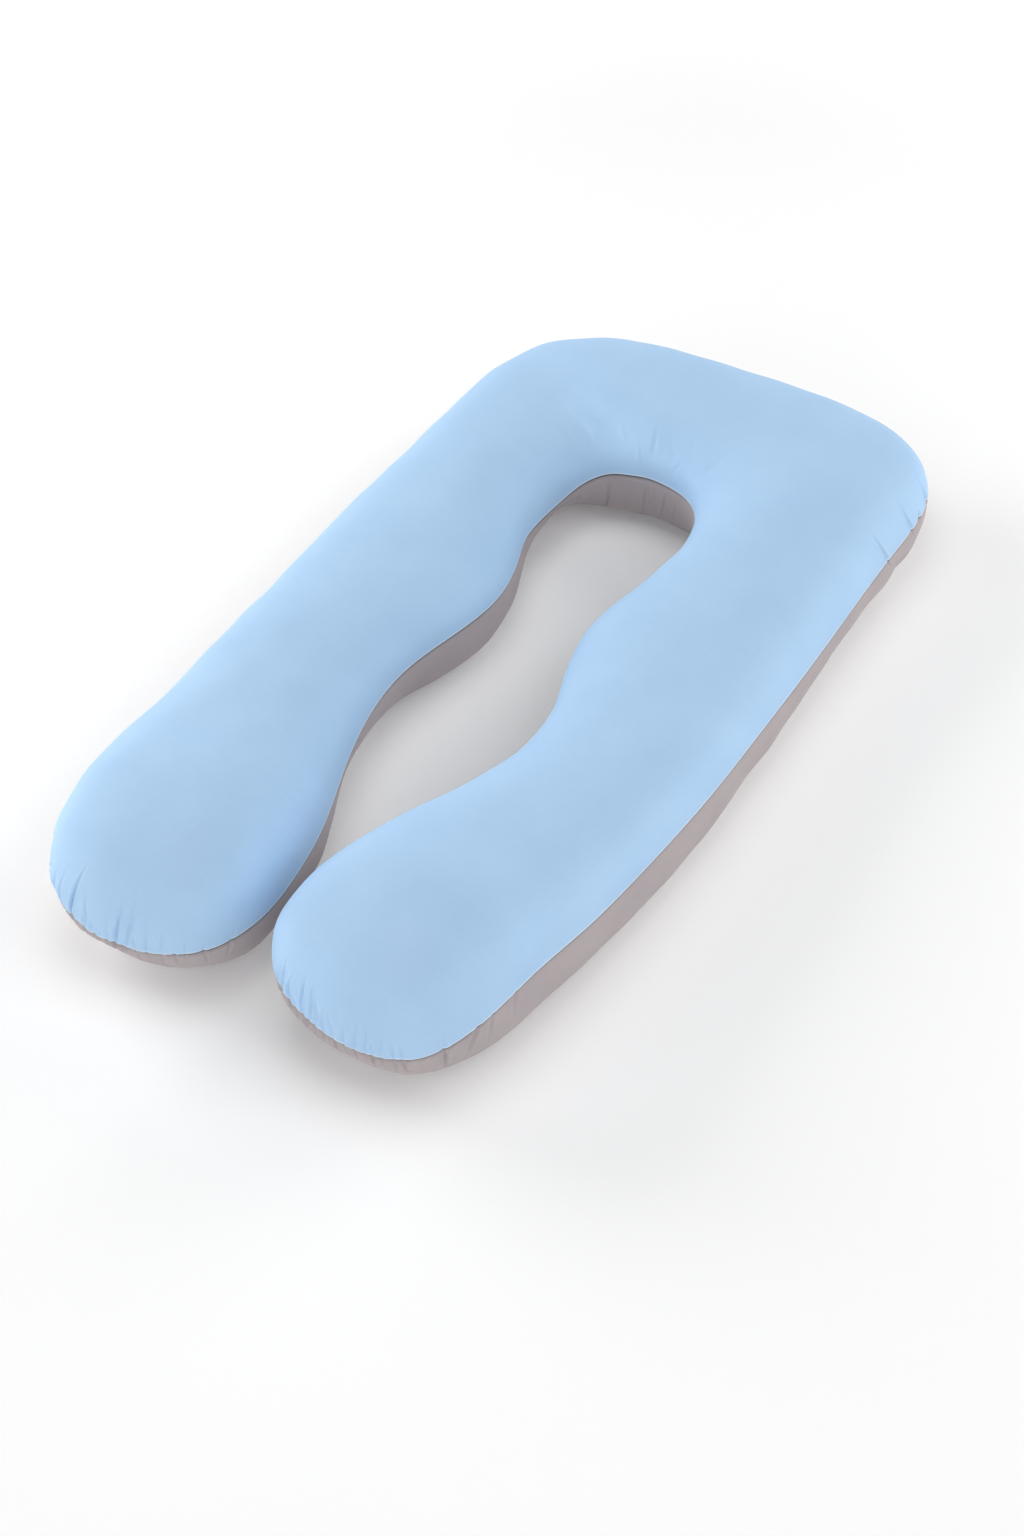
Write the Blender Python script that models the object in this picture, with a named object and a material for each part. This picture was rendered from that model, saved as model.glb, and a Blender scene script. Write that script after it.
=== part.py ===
"""A U-shaped body pillow that lies flat, in metres.

One filled tube of cloth runs from the left foot up that leg, round the head end and down the
right leg to its foot. It is sewn from two panels, which meet at a single seam that goes all
round the tube at about mid-height: a light blue one above and a warm grey one below. Each panel
is built here as the half of the filled tube that it covers, 0.3 mm clear of the other.

+X is across the pillow, +Y towards the head end, +Z up. The origin is on the floor, under the
middle of the pillow.
"""

import bmesh
import bpy
import numpy as np

# Driving sizes.
PILLOW_WIDTH = 0.800
PILLOW_LENGTH = 1.400
PANEL_GAP = 0.0003  # between the two panels, along the seam
CONTACT_SHARE = 0.05  # lowest share of the belly, pressed flat on the floor

# Loft steps from the seam to the middle of the tube, and columns round each foot.
CROWN_STEPS = 7
BELLY_STEPS = 6
FOOT_COLUMNS = 48

# Seam sections of the tube, from the head end down each leg. A section joins the seam on the
# outside of the U to the seam on its inside; x is how far a point lies from the middle of the
# pillow. crown_z is the height of the cloth over the middle of the tube. The bellies say how
# full the lower panel is under each seam: 2 is an ellipse, and more is squarer. columns is the
# number of loft columns to the next section.
SECTION_NAMES = (
    "outer_x", "outer_y", "outer_z", "outer_belly",
    "inner_x", "inner_y", "inner_z", "inner_belly", "crown_z", "columns",
)
HEAD_SECTION = (0.000, 0.697, 0.116, 2.9, 0.000, 0.427, 0.114, 3.6, 0.190, 3)
RIGHT_SECTIONS = (
    (0.110, 0.694, 0.113, 2.9, 0.030, 0.425, 0.112, 4.1, 0.188, 4),
    (0.245, 0.682, 0.107, 2.8, 0.065, 0.417, 0.108, 3.8, 0.187, 9),
    (0.347, 0.640, 0.103, 2.6, 0.094, 0.397, 0.104, 3.6, 0.187, 9),
    (0.397, 0.564, 0.106, 2.4, 0.112, 0.362, 0.100, 3.3, 0.187, 9),
    (0.402, 0.450, 0.100, 2.5, 0.121, 0.313, 0.097, 3.0, 0.184, 6),
    (0.400, 0.340, 0.097, 2.9, 0.121, 0.256, 0.095, 3.0, 0.181, 4),
    (0.401, 0.210, 0.096, 3.2, 0.106, 0.193, 0.095, 3.0, 0.178, 3),
    (0.403, 0.100, 0.099, 3.3, 0.088, 0.105, 0.096, 3.0, 0.177, 3),
    (0.404, 0.000, 0.103, 3.4, 0.105, 0.000, 0.100, 3.0, 0.180, 3),
    (0.404, -0.100, 0.107, 3.5, 0.137, -0.100, 0.104, 3.0, 0.184, 3),
    (0.400, -0.200, 0.111, 3.6, 0.135, -0.200, 0.107, 3.0, 0.188, 3),
    (0.392, -0.300, 0.114, 3.5, 0.098, -0.300, 0.107, 3.0, 0.196, 3),
    (0.379, -0.400, 0.117, 3.3, 0.054, -0.400, 0.106, 2.9, 0.210, 4),
    (0.361, -0.500, 0.119, 3.3, 0.031, -0.500, 0.106, 2.7, 0.226, 0),
)
LEFT_SECTIONS = (
    (0.110, 0.697, 0.113, 2.9, 0.034, 0.424, 0.112, 3.9, 0.189, 4),
    (0.236, 0.685, 0.108, 2.9, 0.067, 0.418, 0.107, 2.8, 0.186, 6),
    (0.317, 0.632, 0.106, 2.9, 0.098, 0.399, 0.095, 2.1, 0.179, 6),
    (0.358, 0.547, 0.106, 3.0, 0.116, 0.364, 0.084, 1.9, 0.176, 6),
    (0.370, 0.440, 0.106, 3.0, 0.124, 0.320, 0.080, 1.9, 0.175, 5),
    (0.377, 0.330, 0.104, 3.0, 0.122, 0.260, 0.083, 2.1, 0.174, 4),
    (0.384, 0.210, 0.102, 3.0, 0.101, 0.200, 0.092, 3.0, 0.173, 3),
    (0.390, 0.100, 0.100, 3.0, 0.079, 0.105, 0.098, 3.4, 0.174, 3),
    (0.387, 0.000, 0.102, 3.0, 0.091, 0.000, 0.103, 3.5, 0.176, 3),
    (0.383, -0.100, 0.106, 3.0, 0.113, -0.100, 0.103, 2.7, 0.178, 3),
    (0.380, -0.200, 0.109, 3.0, 0.109, -0.200, 0.098, 2.0, 0.182, 3),
    (0.375, -0.300, 0.109, 3.0, 0.081, -0.300, 0.094, 2.1, 0.192, 3),
    (0.373, -0.400, 0.107, 3.0, 0.044, -0.400, 0.098, 2.3, 0.209, 4),
    (0.366, -0.500, 0.106, 2.9, 0.022, -0.500, 0.104, 2.3, 0.226, 0),
)

# The seam round each foot, from the outside of the U to its inside.
FOOT_NAMES = ("x", "y", "z", "belly")
RIGHT_FOOT = (
    (0.340, -0.600, 0.111, 3.0),
    (0.290, -0.676, 0.099, 2.5),
    (0.209, -0.700, 0.102, 2.2),
    (0.129, -0.687, 0.108, 2.1),
    (0.060, -0.650, 0.112, 2.1),
    (0.029, -0.580, 0.111, 2.4),
)
LEFT_FOOT = (
    (0.341, -0.602, 0.106, 2.5),
    (0.288, -0.673, 0.107, 2.1),
    (0.208, -0.698, 0.102, 2.1),
    (0.128, -0.692, 0.099, 2.2),
    (0.055, -0.654, 0.101, 2.4),
    (0.019, -0.580, 0.105, 2.3),
)

# How full the upper panel is along the pillow, on the same scale as the bellies.
CROWN_NAMES = ("y", "fullness")
CROWNS = (
    (-0.600, 2.90),
    (-0.500, 2.80),
    (-0.300, 2.40),
    (0.100, 2.20),
    (0.400, 2.25),
    (0.700, 2.40),
)

# Puckers, where the cloth is eased round a tight curve of the seam: the seam point that each
# starts from, how far it reaches in over the crown, how deep it is and how wide.
PUCKER_NAMES = ("seam_x", "seam_y", "reach", "depth", "width")
PUCKERS = (
    # left foot
    (-0.318, -0.640, 0.060, 0.0040, 0.010),
    (-0.285, -0.674, 0.055, 0.0045, 0.008),
    (-0.250, -0.691, 0.095, 0.0085, 0.009),
    (-0.205, -0.697, 0.040, 0.0035, 0.009),
    (-0.166, -0.697, 0.080, 0.0050, 0.010),
    (-0.120, -0.690, 0.070, 0.0035, 0.010),
    (-0.082, -0.674, 0.045, 0.0040, 0.009),
    (-0.048, -0.645, 0.050, 0.0035, 0.010),
    # right foot
    (0.052, -0.645, 0.055, 0.0040, 0.010),
    (0.077, -0.667, 0.065, 0.0060, 0.008),
    (0.102, -0.681, 0.045, 0.0050, 0.007),
    (0.129, -0.690, 0.075, 0.0065, 0.009),
    (0.168, -0.698, 0.055, 0.0035, 0.009),
    (0.212, -0.700, 0.080, 0.0055, 0.010),
    (0.246, -0.695, 0.045, 0.0045, 0.008),
    (0.273, -0.685, 0.060, 0.0055, 0.009),
    (0.317, -0.645, 0.060, 0.0050, 0.010),
    # right corner of the head end
    (0.340, 0.638, 0.050, 0.0030, 0.012),
    (0.378, 0.582, 0.070, 0.0050, 0.009),
    (0.392, 0.524, 0.080, 0.0060, 0.009),
    (0.395, 0.450, 0.080, 0.0035, 0.011),
    # left corner of the head end
    (-0.278, 0.670, 0.060, 0.0040, 0.011),
    (-0.335, 0.622, 0.070, 0.0050, 0.010),
    (-0.370, 0.550, 0.060, 0.0040, 0.011),
)

BELLY, CROWN = 3, 4  # columns of a seam point, after its x, y and z
WELD = 1e-5  # points this close are one
TINY = 1e-6
SEAM_EDGE_ANGLE = np.radians(50)  # faces that meet at more than this keep a sharp edge

COLOURS = {
    "top_panel": (0.44, 0.63, 0.84, 1.0),
    "bottom_panel": (0.36, 0.34, 0.34, 1.0),
}


def clear_scene():
    """Remove the objects that the scene starts with."""
    for old in list(bpy.data.objects):
        bpy.data.objects.remove(old, do_unlink=True)


def named_rows(names, rows):
    """One dictionary for each row of a table."""
    return [dict(zip(names, row)) for row in rows]


def seam_point(row, edge, side):
    """One point of the seam: its x, y and z, the belly under it and the crown beside it."""
    place = [row[edge + what] for what in ("x", "y", "z", "belly")]
    return (side * place[0], *place[1:], row["crown_z"])


def side_outline(side, sections, foot):
    """Seam points down the outside of a leg, round its foot and back up its inside."""
    rows = named_rows(SECTION_NAMES, sections)
    around = [dict(row, crown_z=rows[-1]["crown_z"]) for row in named_rows(FOOT_NAMES, foot)]
    outer = [seam_point(row, "outer_", side) for row in rows]
    inner = [seam_point(row, "inner_", side) for row in rows]
    return outer + [seam_point(row, "", side) for row in around] + inner[::-1]


def seam_outline():
    """Seam points round the whole pillow, clockwise from the far side of the head end."""
    head = named_rows(SECTION_NAMES, [HEAD_SECTION])[0]
    right = side_outline(1, RIGHT_SECTIONS, RIGHT_FOOT)
    left = side_outline(-1, LEFT_SECTIONS, LEFT_FOOT)
    far, hollow = seam_point(head, "outer_", 1), seam_point(head, "inner_", 1)
    points = np.array([far, *right, hollow, *left[::-1]])
    low, high = points.min(axis=0), points.max(axis=0)
    for axis, size in ((0, PILLOW_WIDTH), (1, PILLOW_LENGTH)):
        middle = (low[axis] + high[axis]) / 2
        points[:, axis] = (points[:, axis] - middle) * size / (high[axis] - low[axis])
    return points


def closed_curve(points):
    """A function that reads the smooth closed curve through the points, at any point number."""
    count = len(points)
    step = np.roll(points, -1, axis=0) - points
    chord = np.linalg.norm(step[:, :2], axis=1)
    slope = step / chord[:, None]
    system = np.zeros((count, count))
    target = np.zeros(points.shape)
    for i in range(count):
        before, after = chord[i - 1], chord[i]
        system[i, i - 1] = after
        system[i, i] = 2 * (before + after)
        system[i, (i + 1) % count] = before
        target[i] = 3 * (after * slope[i - 1] + before * slope[i])
    tangent = np.linalg.solve(system, target)

    def at(number):
        i = np.floor(number).astype(int)
        share = (number - i)[:, None]
        start, end = i % count, (i + 1) % count
        length = chord[start][:, None]
        rest = 1 - share
        return (
            points[start] * (1 + 2 * share) * rest**2
            + points[end] * (3 - 2 * share) * share**2
            + tangent[start] * length * share * rest**2
            - tangent[end] * length * rest * share**2
        )

    return at


def column_numbers(side_sections):
    """Row numbers of the loft's columns along one side, from the head section to the foot."""
    rows = named_rows(SECTION_NAMES, (HEAD_SECTION,) + side_sections)
    numbers = [0.0]
    for place, row in enumerate(rows):
        numbers += [place + (cut + 1) / row["columns"] for cut in range(row["columns"])]
    return np.array(numbers)


def tube_seams():
    """For each side of the U: its outer seam, its inner seam, and the seam round its foot."""
    outline = seam_outline()
    at = closed_curve(outline)
    total = len(outline)
    sections = len(RIGHT_SECTIONS)
    hollow = 2 * sections + len(RIGHT_FOOT) + 1  # number of the point in the middle of the hollow
    foot = np.linspace(sections, hollow - sections, FOOT_COLUMNS + 1)
    right = column_numbers(RIGHT_SECTIONS)
    left = column_numbers(LEFT_SECTIONS)
    return {
        "right": (at(right), at(hollow - right), at(foot)),
        "left": (at(total - left), at(hollow + left), at(total - foot)),
    }


def pinched(surface, seam, core):
    """The surface drawn in towards the tube's core wherever a pucker runs in from the seam."""
    from_seam = np.linalg.norm(surface - seam[:, None], axis=2)
    inwards = core[:, None] - surface
    inwards /= np.maximum(np.linalg.norm(inwards, axis=2, keepdims=True), TINY)
    depth = np.zeros(from_seam.shape)
    for pucker in named_rows(PUCKER_NAMES, PUCKERS):
        beside = np.hypot(seam[:, 0] - pucker["seam_x"], seam[:, 1] - pucker["seam_y"])
        across = np.exp(-((beside / pucker["width"]) ** 2))
        nearness = np.clip(1 - from_seam / pucker["reach"], 0, 1)
        depth += pucker["depth"] * across[:, None] * nearness**2 * (3 - 2 * nearness)
    return surface + inwards * depth[:, :, None]


def shell(seam, middle, above):
    """Part of a panel's outer surface: a rounded sheet from the seam in to the tube's middle."""
    rows = named_rows(CROWN_NAMES, CROWNS)
    fullness = seam[:, BELLY]
    if above:
        fullness = np.interp(seam[:, 1], [r["y"] for r in rows], [r["fullness"] for r in rows])
    turn = np.linspace(0, np.pi / 2, (CROWN_STEPS if above else BELLY_STEPS) + 1)[None, :]
    power = 2 / fullness[:, None]
    inwards = 1 - np.maximum(np.cos(turn), 0) ** power
    upwards = np.sin(turn) ** power
    inwards[:, -1] = 1
    if not above:
        upwards = np.minimum(upwards / (1 - CONTACT_SHARE), 1)
    far_z = middle[:, CROWN] if above else np.zeros(len(middle))
    target = np.column_stack([middle[:, :2], far_z])
    span = target - seam[:, :3]
    shares = np.stack([inwards, inwards, upwards], axis=2)
    surface = seam[:, None, :3] + span[:, None] * shares
    core = np.column_stack([middle[:, :2], seam[:, 2]])
    return pinched(surface, seam[:, :3], core)


def add_patch(mesh, grid):
    """Add a grid of points as quads, or as triangles where the grid is a narrow strip."""
    rows = [[mesh.verts.new(point) for point in row] for row in grid]
    for first, second in zip(rows, rows[1:]):
        for a, b, c, d in zip(first, second, second[1:], first[1:]):
            if len(grid[0]) == 2:
                mesh.faces.new((a, b, c))
                mesh.faces.new((a, c, d))
            else:
                mesh.faces.new((a, b, c, d))


def make_panel(name, above, collection):
    """One panel with the half of the filling that it covers, as a closed solid."""
    mesh = bmesh.new()
    lift = PANEL_GAP / 2 if above else -PANEL_GAP / 2
    for outer, inner, foot in tube_seams().values():
        middle = (outer + inner) / 2
        foot_middle = np.repeat(middle[-1:], len(foot), axis=0)
        for seam, centre in ((outer, middle), (inner, middle), (foot, foot_middle)):
            surface = shell(seam, centre, above)
            surface[:, 0, 2] += lift
            core = np.column_stack([centre[:, :2], centre[:, 2] + lift])
            add_patch(mesh, surface)
            add_patch(mesh, np.stack([surface[:, 0], core], axis=1))
    bmesh.ops.remove_doubles(mesh, verts=mesh.verts, dist=WELD)
    bmesh.ops.recalc_face_normals(mesh, faces=mesh.faces)
    data = bpy.data.meshes.new(name)
    mesh.to_mesh(data)
    mesh.free()
    data.shade_smooth()
    data.set_sharp_from_angle(angle=SEAM_EDGE_ANGLE)
    panel = bpy.data.objects.new(name, data)
    collection.objects.link(panel)
    data.materials.append(cloth_material(name, COLOURS[name]))


def cloth_material(name, colour):
    """Plain matt cloth."""
    material = bpy.data.materials.new(name)
    material.use_nodes = True
    surface = material.node_tree.nodes["Principled BSDF"]
    surface.inputs["Base Color"].default_value = colour
    surface.inputs["Roughness"].default_value = 0.85
    surface.inputs["Metallic"].default_value = 0.0
    return material


clear_scene()
body_pillow = bpy.data.collections.new("body_pillow")
bpy.context.scene.collection.children.link(body_pillow)
make_panel("top_panel", True, body_pillow)
make_panel("bottom_panel", False, body_pillow)
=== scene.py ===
# A U-shaped body pillow: two sewn covers over one filling, on a pale floor.
# +X is across the pillow, +Y towards its head end, +Z up from the floor; all sizes in metres.

import math

import bmesh
import bpy
import numpy as np
from mathutils import Matrix, Vector


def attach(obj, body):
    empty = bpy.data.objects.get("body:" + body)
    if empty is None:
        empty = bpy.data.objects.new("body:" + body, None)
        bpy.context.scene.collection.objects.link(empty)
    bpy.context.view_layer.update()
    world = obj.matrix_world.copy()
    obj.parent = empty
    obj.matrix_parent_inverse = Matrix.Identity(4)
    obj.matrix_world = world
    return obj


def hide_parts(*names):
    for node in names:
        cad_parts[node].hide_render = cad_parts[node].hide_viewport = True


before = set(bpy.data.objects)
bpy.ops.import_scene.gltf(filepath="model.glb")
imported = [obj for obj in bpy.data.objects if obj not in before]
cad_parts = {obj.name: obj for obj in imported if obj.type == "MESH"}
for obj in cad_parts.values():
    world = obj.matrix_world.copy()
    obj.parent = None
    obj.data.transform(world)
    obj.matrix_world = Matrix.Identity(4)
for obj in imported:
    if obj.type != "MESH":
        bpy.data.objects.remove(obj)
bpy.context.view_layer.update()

# ---------------------------------------------------------------- sizes of the pillow

PILLOW_WIDTH = 0.800
PILLOW_LENGTH = 1.400
PANEL_GAP = 0.0003  # between the two covers, inside the seam
CONTACT_SHARE = 0.05  # lowest share of the belly, pressed flat on the floor

# Seam sections of the tube, from the head end down each leg. The bellies and crowns say how full
# the cloth is there: 2 is an ellipse, and more is squarer. The numbers are those of the part's
# source, but for some bellies, fuller or slacker, and some seam heights, 1 to 4 mm lower.
SECTION_NAMES = (
    "outer_x", "outer_y", "outer_z", "outer_belly",
    "inner_x", "inner_y", "inner_z", "inner_belly", "crown_z",
)
HEAD_SECTION = (0.000, 0.697, 0.116, 2.9, 0.000, 0.427, 0.114, 3.5, 0.190)
RIGHT_SECTIONS = (
    (0.110, 0.694, 0.113, 2.9, 0.030, 0.425, 0.112, 3.9, 0.188),
    (0.245, 0.682, 0.107, 2.8, 0.065, 0.417, 0.108, 3.8, 0.187),
    (0.347, 0.640, 0.103, 2.6, 0.094, 0.397, 0.104, 3.6, 0.187),
    (0.397, 0.564, 0.105, 2.4, 0.112, 0.362, 0.100, 3.3, 0.187),
    (0.402, 0.450, 0.099, 2.6, 0.121, 0.313, 0.097, 3.0, 0.184),
    (0.400, 0.340, 0.095, 2.6, 0.121, 0.256, 0.095, 3.0, 0.181),
    (0.401, 0.210, 0.093, 2.9, 0.106, 0.193, 0.095, 3.0, 0.178),
    (0.403, 0.100, 0.097, 3.2, 0.088, 0.105, 0.096, 3.0, 0.177),
    (0.404, 0.000, 0.101, 3.3, 0.105, 0.000, 0.100, 3.0, 0.180),
    (0.404, -0.100, 0.105, 3.5, 0.137, -0.100, 0.104, 3.0, 0.184),
    (0.400, -0.200, 0.109, 3.7, 0.135, -0.200, 0.107, 3.0, 0.188),
    (0.392, -0.300, 0.112, 3.5, 0.098, -0.300, 0.107, 3.0, 0.196),
    (0.379, -0.400, 0.114, 3.4, 0.054, -0.400, 0.106, 2.9, 0.210),
    (0.361, -0.500, 0.118, 3.4, 0.031, -0.500, 0.106, 2.7, 0.226),
)
LEFT_SECTIONS = (
    (0.110, 0.697, 0.113, 2.9, 0.034, 0.424, 0.112, 3.4, 0.189),
    (0.236, 0.685, 0.108, 2.9, 0.067, 0.418, 0.107, 3.2, 0.186),
    (0.317, 0.632, 0.106, 2.9, 0.098, 0.399, 0.095, 2.4, 0.179),
    (0.358, 0.547, 0.106, 3.0, 0.116, 0.364, 0.084, 1.6, 0.176),
    (0.370, 0.440, 0.106, 3.0, 0.124, 0.320, 0.080, 1.7, 0.175),
    (0.377, 0.330, 0.104, 3.0, 0.122, 0.260, 0.083, 2.6, 0.174),
    (0.384, 0.210, 0.102, 3.0, 0.101, 0.200, 0.088, 3.1, 0.173),
    (0.390, 0.100, 0.100, 3.0, 0.079, 0.105, 0.095, 3.8, 0.174),
    (0.387, 0.000, 0.102, 3.0, 0.091, 0.000, 0.103, 3.3, 0.176),
    (0.383, -0.100, 0.106, 3.0, 0.113, -0.100, 0.102, 2.3, 0.178),
    (0.380, -0.200, 0.109, 3.0, 0.109, -0.200, 0.094, 2.0, 0.182),
    (0.375, -0.300, 0.109, 3.0, 0.081, -0.300, 0.090, 1.8, 0.192),
    (0.373, -0.400, 0.107, 3.0, 0.044, -0.400, 0.096, 2.9, 0.209),
    (0.366, -0.500, 0.106, 2.9, 0.022, -0.500, 0.102, 2.5, 0.226),
)

# The seam round each foot, from the outside of the U to its inside.
FOOT_NAMES = ("x", "y", "z", "belly")
RIGHT_FOOT = (
    (0.340, -0.600, 0.111, 2.8),
    (0.290, -0.676, 0.099, 2.2),
    (0.209, -0.700, 0.102, 2.0),
    (0.129, -0.687, 0.108, 2.4),
    (0.060, -0.650, 0.112, 2.8),
    (0.029, -0.580, 0.111, 3.0),
)
LEFT_FOOT = (
    (0.341, -0.602, 0.106, 2.2),
    (0.288, -0.673, 0.107, 2.0),
    (0.208, -0.698, 0.102, 1.8),
    (0.128, -0.692, 0.099, 2.0),
    (0.055, -0.654, 0.101, 2.3),
    (0.019, -0.580, 0.105, 2.5),
)

# How full the blue cover is along the pillow.
CROWN_NAMES = ("y", "fullness")
CROWNS = (
    (-0.600, 2.90),
    (-0.500, 2.80),
    (-0.300, 2.40),
    (0.100, 2.20),
    (0.400, 2.25),
    (0.700, 2.40),
)

# Cloth columns along the seam: how far apart they are, in bands of y.
COLUMN_NAMES = ("y", "spacing")
COLUMN_SPACING = (
    (-0.700, 0.0028),
    (-0.560, 0.0030),
    (-0.440, 0.0060),
    (-0.300, 0.0090),
    (0.250, 0.0090),
    (0.390, 0.0052),
    (0.560, 0.0050),
    (0.700, 0.0056),
)
CREASE_SPACING = 0.0014  # beside the place where a crease starts
CREASE_NEARNESS = 0.016  # so far to each side, and fading out over as much again
BLUE_ROWS = 44  # rows of cloth from the seam to the middle of the tube
GREY_ROWS = 36
ROW_GRADING = 1.65  # above 1, the rows are closer together beside the seam
PROFILE_SAMPLES = 200  # places on a section's curve, on which its rows are measured out
SPACING_SAMPLES = 4000  # places on a stretch of seam, on which its columns are measured out
RUN_SAMPLES = 8000  # places round the whole seam, on which its run is measured

# Creases where the cloth is eased round a tight curve: the seam point that each starts from, how
# far it runs up the blue cover and down the grey one, how deep and how wide it is, how far the
# seam steps in there, and how far the crease leans and bends along the seam for each metre, and
# square metre, that it runs up.
CREASE_NAMES = (
    "seam_x", "seam_y", "above", "below", "depth", "width", "nick", "lean", "bend",
)
SEAM_CREASES = (
    # left foot
    (-0.348, -0.608, 0.095, 0.030, 0.0030, 0.0028, 0.0014, -2.10, 13.7),
    (-0.306, -0.667, 0.068, 0.040, 0.0022, 0.0026, 0.0016, -0.68, 4.4),
    (-0.283, -0.681, 0.090, 0.045, 0.0034, 0.0030, 0.0028, -0.36, 2.1),
    (-0.260, -0.690, 0.118, 0.050, 0.0074, 0.0030, 0.0046, -0.39, 1.4),
    (-0.234, -0.696, 0.095, 0.035, 0.0028, 0.0036, 0.0025, -0.49, 4.1),
    (-0.213, -0.699, 0.040, 0.035, 0.0012, 0.0030, 0.0015, 0.10, 0.0),
    (-0.192, -0.699, 0.095, 0.030, 0.0015, 0.0030, 0.0017, -0.21, 0.3),
    (-0.181, -0.699, 0.110, 0.040, 0.0025, 0.0030, 0.0023, -0.34, 0.4),
    (-0.166, -0.697, 0.125, 0.035, 0.0021, 0.0027, 0.0021, -0.50, 1.9),
    (-0.146, -0.695, 0.035, 0.025, 0.0009, 0.0026, 0.0013, 0.00, 0.0),
    (-0.130, -0.691, 0.055, 0.025, 0.0008, 0.0024, 0.0013, -0.03, -3.6),
    (-0.110, -0.684, 0.055, 0.030, 0.0009, 0.0024, 0.0013, -0.15, -1.0),
    (-0.094, -0.676, 0.042, 0.030, 0.0012, 0.0022, 0.0030, -0.08, -3.5),
    (-0.081, -0.669, 0.050, 0.025, 0.0008, 0.0023, 0.0013, -0.15, -1.4),
    (-0.062, -0.653, 0.030, 0.030, 0.0016, 0.0024, 0.0032, 0.00, -8.0),
    (-0.040, -0.623, 0.025, 0.040, 0.0014, 0.0031, 0.0016, -0.45, -8.0),
    # right foot
    (0.072, -0.665, 0.074, 0.045, 0.0050, 0.0034, 0.0024, -0.72, 7.7),
    (0.094, -0.677, 0.062, 0.045, 0.0044, 0.0031, 0.0034, -0.17, 0.0),
    (0.108, -0.682, 0.030, 0.040, 0.0016, 0.0026, 0.0018, 0.00, 0.0),
    (0.123, -0.687, 0.086, 0.045, 0.0034, 0.0027, 0.0028, -0.12, 1.1),
    (0.134, -0.690, 0.086, 0.035, 0.0024, 0.0026, 0.0022, -0.52, 6.1),
    (0.146, -0.693, 0.040, 0.040, 0.0018, 0.0026, 0.0019, -0.32, 0.7),
    (0.161, -0.696, 0.046, 0.035, 0.0012, 0.0028, 0.0015, -0.14, 1.4),
    (0.178, -0.699, 0.032, 0.035, 0.0012, 0.0026, 0.0015, -0.10, 0.0),
    (0.196, -0.700, 0.042, 0.030, 0.0012, 0.0024, 0.0015, 0.02, -3.4),
    (0.211, -0.700, 0.064, 0.030, 0.0014, 0.0024, 0.0016, -0.10, -1.1),
    (0.226, -0.698, 0.060, 0.025, 0.0012, 0.0022, 0.0015, -0.17, 0.7),
    (0.236, -0.697, 0.038, 0.030, 0.0017, 0.0023, 0.0018, -0.08, 1.5),
    (0.250, -0.693, 0.045, 0.025, 0.0013, 0.0022, 0.0016, -0.03, -1.0),
    (0.264, -0.688, 0.050, 0.030, 0.0013, 0.0022, 0.0016, 0.00, -1.3),
    (0.274, -0.684, 0.044, 0.045, 0.0016, 0.0023, 0.0018, 0.05, -2.9),
    (0.313, -0.647, 0.042, 0.060, 0.0026, 0.0032, 0.0024, -0.07, 2.0),
    (0.335, -0.601, 0.012, 0.060, 0.0024, 0.0042, 0.0010, -0.60, 0.0),
    (0.343, -0.577, 0.010, 0.055, 0.0015, 0.0034, 0.0000, -0.30, 0.0),
    (0.353, -0.536, 0.010, 0.040, 0.0012, 0.0040, 0.0000, -0.30, 0.0),
    # right corner of the head end
    (0.392, 0.569, 0.062, 0.018, 0.0050, 0.0044, 0.0055, 0.68, -18.3),
    (0.397, 0.533, 0.022, 0.014, 0.0036, 0.0032, 0.0065, 0.30, 0.0),
    (0.400, 0.504, 0.086, 0.018, 0.0040, 0.0021, 0.0030, 0.39, -8.5),
    (0.397, 0.430, 0.086, 0.016, 0.0036, 0.0022, 0.0008, 0.40, -6.4),
    # left corner of the head end
    (-0.278, 0.670, 0.060, 0.035, 0.0014, 0.0040, 0.0000, 0.20, 0.0),
    (-0.335, 0.622, 0.070, 0.040, 0.0020, 0.0036, 0.0000, -0.20, 3.0),
    (-0.370, 0.550, 0.060, 0.035, 0.0014, 0.0036, 0.0000, -0.30, 3.0),
)

FURROW_POWER = 1.4  # 2 is a rounded furrow, and 1 a sharp one
FURROW_TAPER = 0.45  # share of its width that a furrow loses towards its end
RIDGE_SHARE = 0.32  # height of the ridges beside a furrow, as a share of its depth
RIDGE_PLACE = 2.1  # from a furrow's middle to its ridges, as a share of its width
RIDGE_WIDTH = 1.1  # width of a ridge, as a share of the furrow's
SEAM_HOLD = 0.45  # share of a crease's depth that is left where the stitching holds it
SEAM_HOLD_REACH = 0.012  # from the seam to where a crease is at its full depth
GREY_SHARE = 2.0  # depth of the creases in the grey cover, as a share of the blue cover's,
GREY_MOST = 0.0048  # and the most that it comes to
GREY_CREASE_LOW = 0.010  # height at which the grey cover's creases end,
GREY_CREASE_RISE = 0.040  # and height above that over which they come in
GREY_FOLD_RISE = 0.020  # height above the floor over which its folds come in
NICK_STEP = 0.0024  # length of seam over which a nick steps in
NICK_RETURN = 0.0080  # and over which it comes back
NICK_POWER = 1.5  # above 1, it is slower to start back
NICK_REACH = 0.0070  # how far up and down the cloth a nick is felt

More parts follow.
